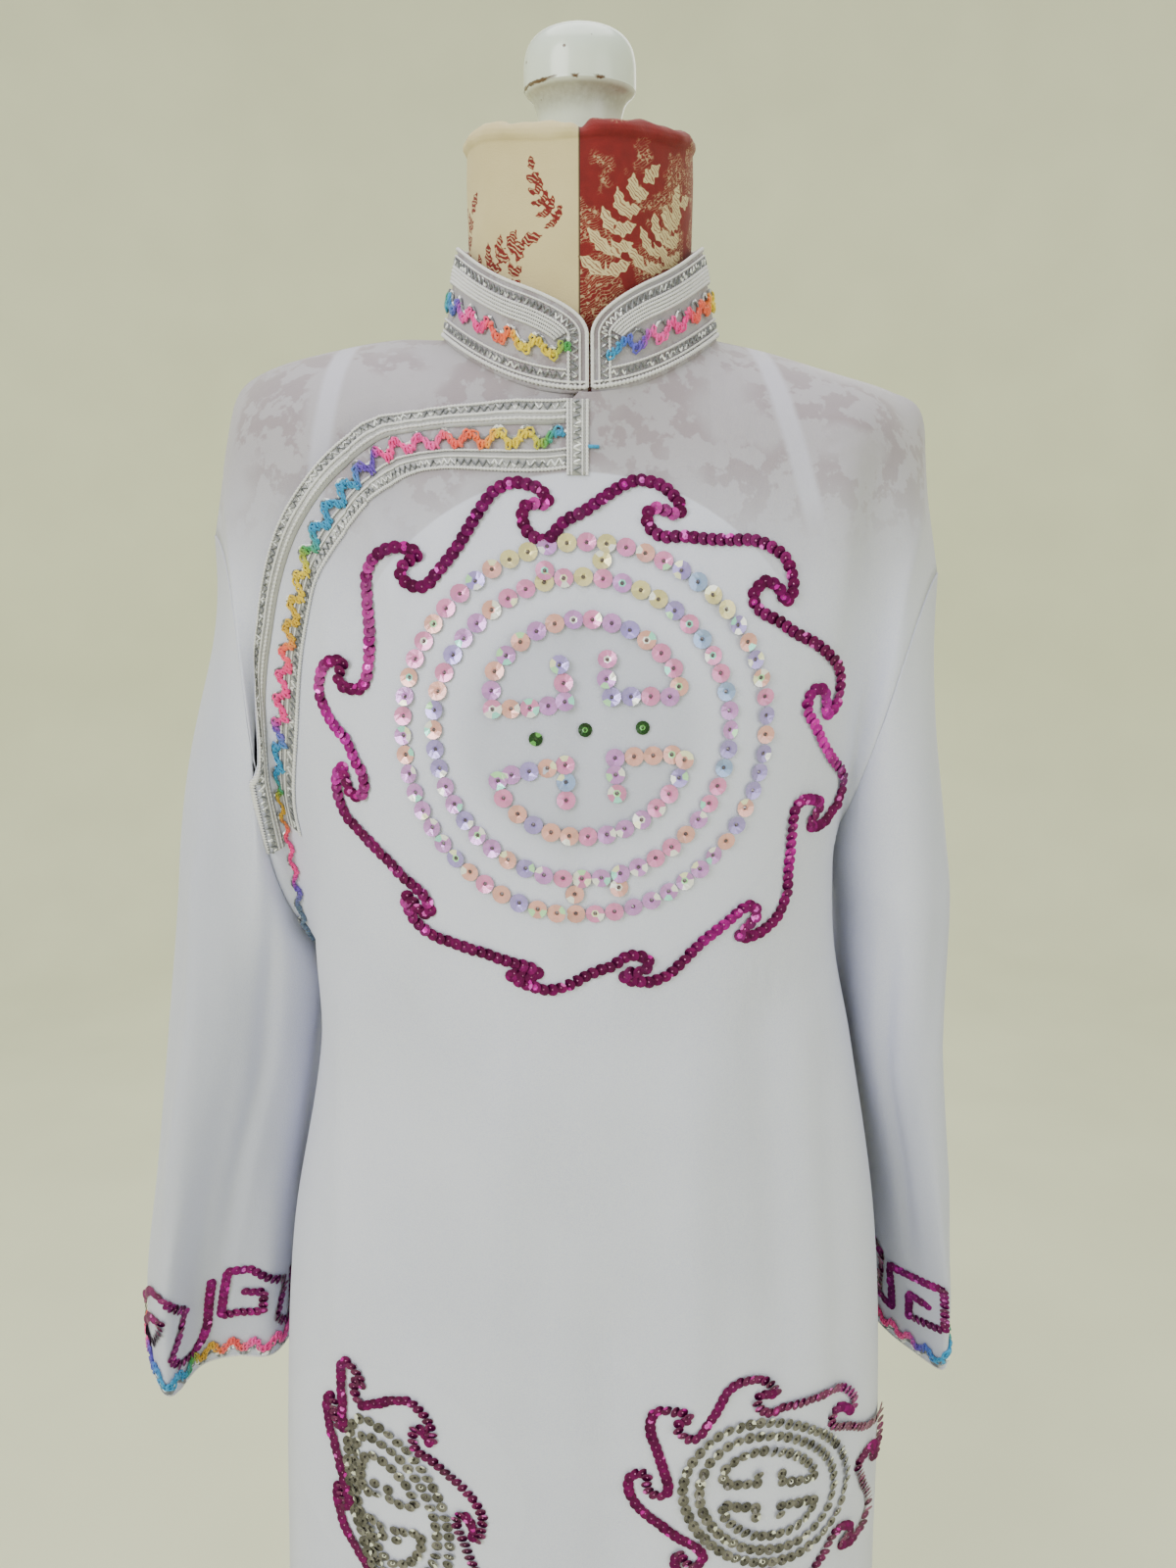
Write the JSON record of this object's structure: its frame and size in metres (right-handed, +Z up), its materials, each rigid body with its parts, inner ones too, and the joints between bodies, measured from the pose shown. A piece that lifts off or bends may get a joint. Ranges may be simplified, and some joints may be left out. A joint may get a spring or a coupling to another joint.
{
  "type": "cheongsam robe on a limbless dress form with a stand",
  "caption": "Long side-closing robe with a stand collar, wide hanging sleeves, braid and rickrack trims and sequin roundels, on a padded dress form with a turned knob, pole and round base.",
  "frame": {"origin": "centre of the stand's base, on the floor", "axes": "+Z up along the pole, the robe's front faces -Y, the wearer's left is +X"},
  "size_m": [0.5343, 0.3403, 1.532],
  "materials": {
    "crepe": "thin white crepe with a soft sheen",
    "stiff_cloth": "stiff white interlining",
    "silver_braid": "white cord and silver tinsel braid",
    "rainbow_yarn": "space-dyed rainbow rickrack",
    "printed_cover": "cream cotton printed in red",
    "white_paint": "satin white paint"
  },
  "bodies": {
    "root": {"front": "crepe", "underlap": "crepe", "back": "crepe", "sleeve_left": "crepe", "sleeve_right": "crepe", "collar": "crepe", "collar_braid_edge": "silver_braid", "collar_braid_base": "silver_braid", "collar_rickrack": "rainbow_yarn", "placket_braid_outer": "silver_braid", "placket_braid_inner": "silver_braid", "placket_braid_end": "silver_braid", "placket_rickrack": "rainbow_yarn", "cuff_rickrack_left": "rainbow_yarn", "cuff_rickrack_right": "rainbow_yarn", "backing_chest": "stiff_cloth", "backing_hip_right": "stiff_cloth", "backing_hip_left": "stiff_cloth", "form_torso": "printed_cover", "form_knob": "white_paint", "stand_pole": "white_paint", "stand_base": "white_paint"}
  },
  "joints": []
}
